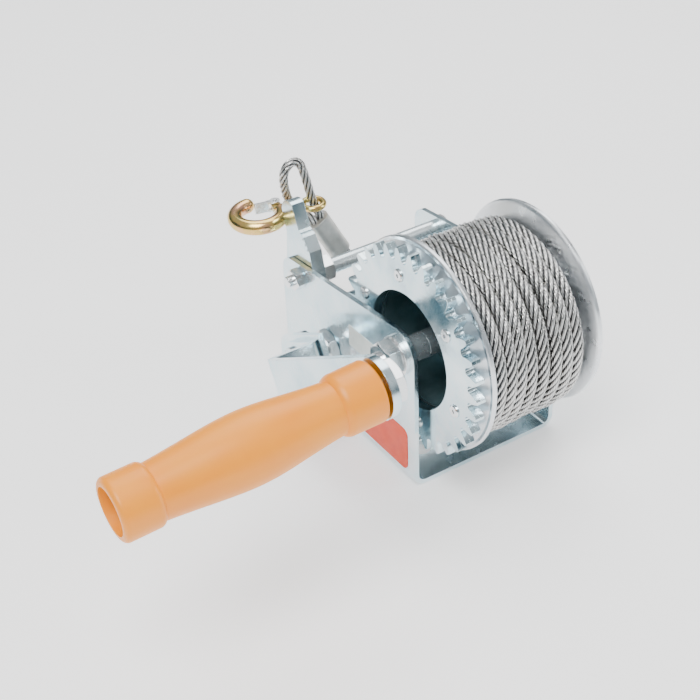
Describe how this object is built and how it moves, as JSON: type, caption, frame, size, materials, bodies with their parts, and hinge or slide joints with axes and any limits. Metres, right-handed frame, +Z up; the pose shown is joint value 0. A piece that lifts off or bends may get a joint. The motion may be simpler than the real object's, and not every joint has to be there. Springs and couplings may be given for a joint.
{
  "type": "boat trailer winch",
  "caption": "Hand-cranked boat trailer winch: folded steel frame, geared cable drum wound with wire rope, joggled crank with turning grip, pawl lever, and looped rope end with safety hook.",
  "frame": {"origin": "centre of the base plate's underside, the face that bolts to the winch post", "axes": "+X along the drum axis from the crank side to the plain side, +Y towards the rear where the crank shaft and tie bolt sit, +Z up out of the base"},
  "size_m": [0.2618, 0.2037, 0.1262],
  "materials": {
    "zinc_plate": "bluish zinc plating",
    "zinc_hardware": "bright zinc plating",
    "gear_steel": "bluish zinc plating, worn teeth",
    "bare_steel": "turned steel",
    "rope_steel": "galvanised wire rope",
    "grip_plastic": "orange moulded plastic",
    "label_red": "red film label",
    "label_white": "white film label",
    "ferrule_aluminium": "pressed aluminium",
    "hook_steel": "yellow chromate plating"
  },
  "bodies": {
    "frame": {"frame_channel": "zinc_plate", "warning_label": "label_red", "rating_sticker": "label_white", "axle_bolt": "zinc_hardware", "axle_washers": "zinc_hardware", "axle_nut": "zinc_hardware", "axle_sleeve": "bare_steel", "axle_spacers": "bare_steel", "tie_bolt": "zinc_hardware", "tie_nut": "zinc_hardware", "tie_spacer": "bare_steel", "tie_collar": "zinc_hardware", "pawl_spring": "bare_steel", "near_bush": "zinc_hardware", "far_bush": "zinc_hardware", "rope_tail": "rope_steel", "rope_eye": "rope_steel", "ferrule": "ferrule_aluminium", "hook": "hook_steel", "hook_latch_pin": "zinc_hardware"},
    "drum": {"gear_plate_outer": "gear_steel", "gear_plate_inner": "gear_steel", "near_flange": "zinc_plate", "far_flange": "zinc_plate", "drum_barrel": "zinc_plate", "drum_web": "zinc_plate", "hub_tube": "bare_steel", "gear_rivets": "zinc_hardware", "wound_rope": "rope_steel", "rope_clamp": "zinc_hardware", "clamp_screws": "zinc_hardware"},
    "crank": {"crank_shaft": "bare_steel", "pinion_gear": "bare_steel", "pinion_spacer": "bare_steel", "shaft_clip": "bare_steel", "crank_collar": "zinc_hardware", "crank_arm": "zinc_plate", "crank_hub_plate": "zinc_plate", "grip_pin": "zinc_hardware", "grip_pin_nut": "zinc_hardware", "grip_pin_washer": "zinc_hardware"},
    "grip": {"grip": "grip_plastic"},
    "pawl": {"pawl": "zinc_plate"},
    "latch": {"hook_latch": "zinc_hardware"}
  },
  "joints": [
    {"name": "drum_spin", "type": "hinge", "parent": "frame", "child": "drum", "pos_m": [0, -0.046, 0.0725], "axis": [1, 0, 0], "continuous": true},
    {"name": "crank_spin", "type": "hinge", "parent": "frame", "child": "crank", "pos_m": [0, 0.01441, 0.04238], "axis": [1, 0, 0], "continuous": true},
    {"name": "grip_spin", "type": "hinge", "parent": "crank", "child": "grip", "pos_m": [-0.0895, -0.09733, 0.10483], "axis": [0.9992, 0, 0.0401], "continuous": true},
    {"name": "pawl_swing", "type": "hinge", "parent": "frame", "child": "pawl", "pos_m": [-0.0365, 0.041, 0.07], "axis": [1, 0, 0], "range_deg": [0, 25], "stiffness_Nm_per_rad": 0.02, "springref_deg": -28.65},
    {"name": "latch_swing", "type": "hinge", "parent": "frame", "child": "latch", "pos_m": [-0.03425, 0.07855, 0.09212], "axis": [-0.0253, 0.0068, 0.9997], "range_deg": [0, 30], "stiffness_Nm_per_rad": 0.003, "springref_deg": -17.19}
  ],
  "couplings": [
    {"joint": "crank_spin", "follows": "drum_spin", "ratio": -2.75}
  ]
}
